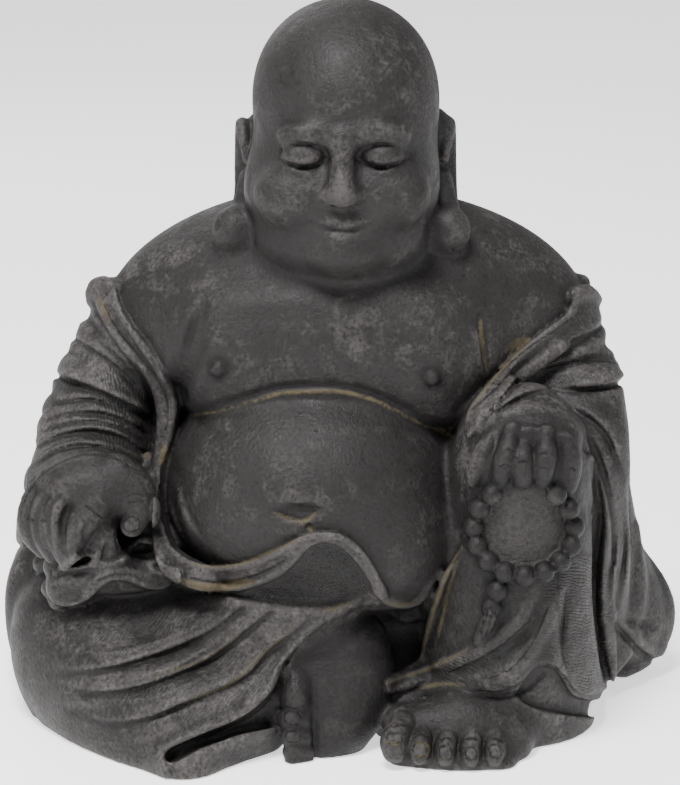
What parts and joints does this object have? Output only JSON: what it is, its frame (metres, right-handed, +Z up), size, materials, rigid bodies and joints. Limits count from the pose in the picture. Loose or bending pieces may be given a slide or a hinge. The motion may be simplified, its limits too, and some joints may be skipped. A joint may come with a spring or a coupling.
{
  "type": "budai figure",
  "caption": "Seated budai figure in dark cast stone: bald head, bare belly, loose folded robe, one knee raised, prayer beads under one hand and a cloth bundle in the other.",
  "frame": {"origin": "middle of the figure's outline on the surface that it stands on", "axes": "+Z up along the figure's height, -Y towards the viewer that the figure faces, +X to that viewer's right"},
  "size_m": [0.5802, 0.3962, 0.5999],
  "materials": {
    "dark_cast_stone": "matte"
  },
  "bodies": {
    "root": {"budai_figure": "dark_cast_stone"}
  },
  "joints": []
}
